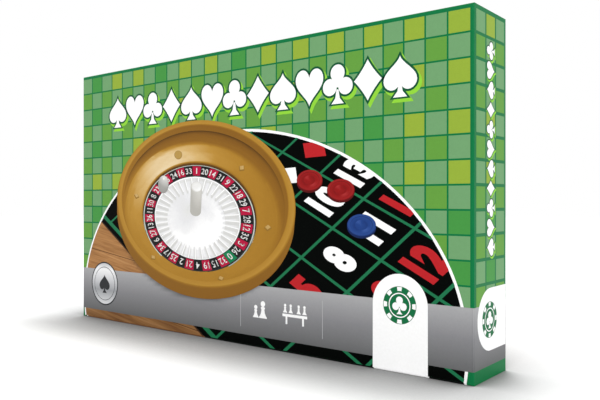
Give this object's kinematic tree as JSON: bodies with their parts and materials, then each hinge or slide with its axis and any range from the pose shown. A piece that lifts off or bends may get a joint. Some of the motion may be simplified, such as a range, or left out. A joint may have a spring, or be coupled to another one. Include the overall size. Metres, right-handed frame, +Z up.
{
  "type": "boxed roulette game",
  "caption": "Flat carton with a lift-off lid, holding a roulette wheel that spins in its bowl, a ball, a folded betting mat and stacks of chips in a formed tray.",
  "frame": {"origin": "middle of the surface that the box stands on", "axes": "+X along the box's long side, to the viewer's right; -Y out of the printed front panel; +Z up"},
  "size_m": [0.4, 0.05, 0.23],
  "materials": {
    "printed_board": "printed, satin varnish",
    "grey_board": "uncoated",
    "formed_sheet": "formed sheet",
    "mat_cloth": "printed felt",
    "red_plastic": "moulded",
    "blue_plastic": "moulded",
    "yellow_plastic": "moulded",
    "gold_plastic": "moulded, satin",
    "pin_steel": "turned",
    "washer_plastic": "moulded",
    "sleeve_brass": "turned",
    "nut_steel": "pressed",
    "white_plastic": "moulded",
    "ring_card": "printed",
    "turret_plastic": "moulded",
    "ball_plastic": "polished"
  },
  "bodies": {
    "base": {"base_tray": "grey_board", "insert": "formed_sheet", "betting_mat": "mat_cloth", "red_chips": "red_plastic", "blue_chips": "blue_plastic", "yellow_chips": "yellow_plastic"},
    "wheel": {"wheel_bowl": "gold_plastic", "axle_pin": "pin_steel", "thrust_washer": "washer_plastic", "push_nut": "nut_steel"},
    "rotor": {"bearing_sleeve": "sleeve_brass", "rotor": "white_plastic", "number_ring": "ring_card", "turret": "turret_plastic"},
    "ball": {"ball": "ball_plastic"},
    "lid": {"lid": "printed_board"}
  },
  "joints": [
    {"name": "wheel_lift", "type": "slide", "parent": "base", "child": "wheel", "axis": [0, -1, 0], "range_m": [0, 0.06]},
    {"name": "lid_lift", "type": "slide", "parent": "wheel", "child": "lid", "axis": [0, -1, 0], "range_m": [0, 0.07]},
    {"name": "rotor_spin", "type": "hinge", "parent": "wheel", "child": "rotor", "pos_m": [-0.0891, 0.0124, 0.115], "axis": [0, -1, 0], "continuous": true},
    {"name": "ball_run", "type": "hinge", "parent": "wheel", "child": "ball", "pos_m": [-0.0891, 0.0029, 0.115], "axis": [0, -1, 0], "continuous": true}
  ]
}
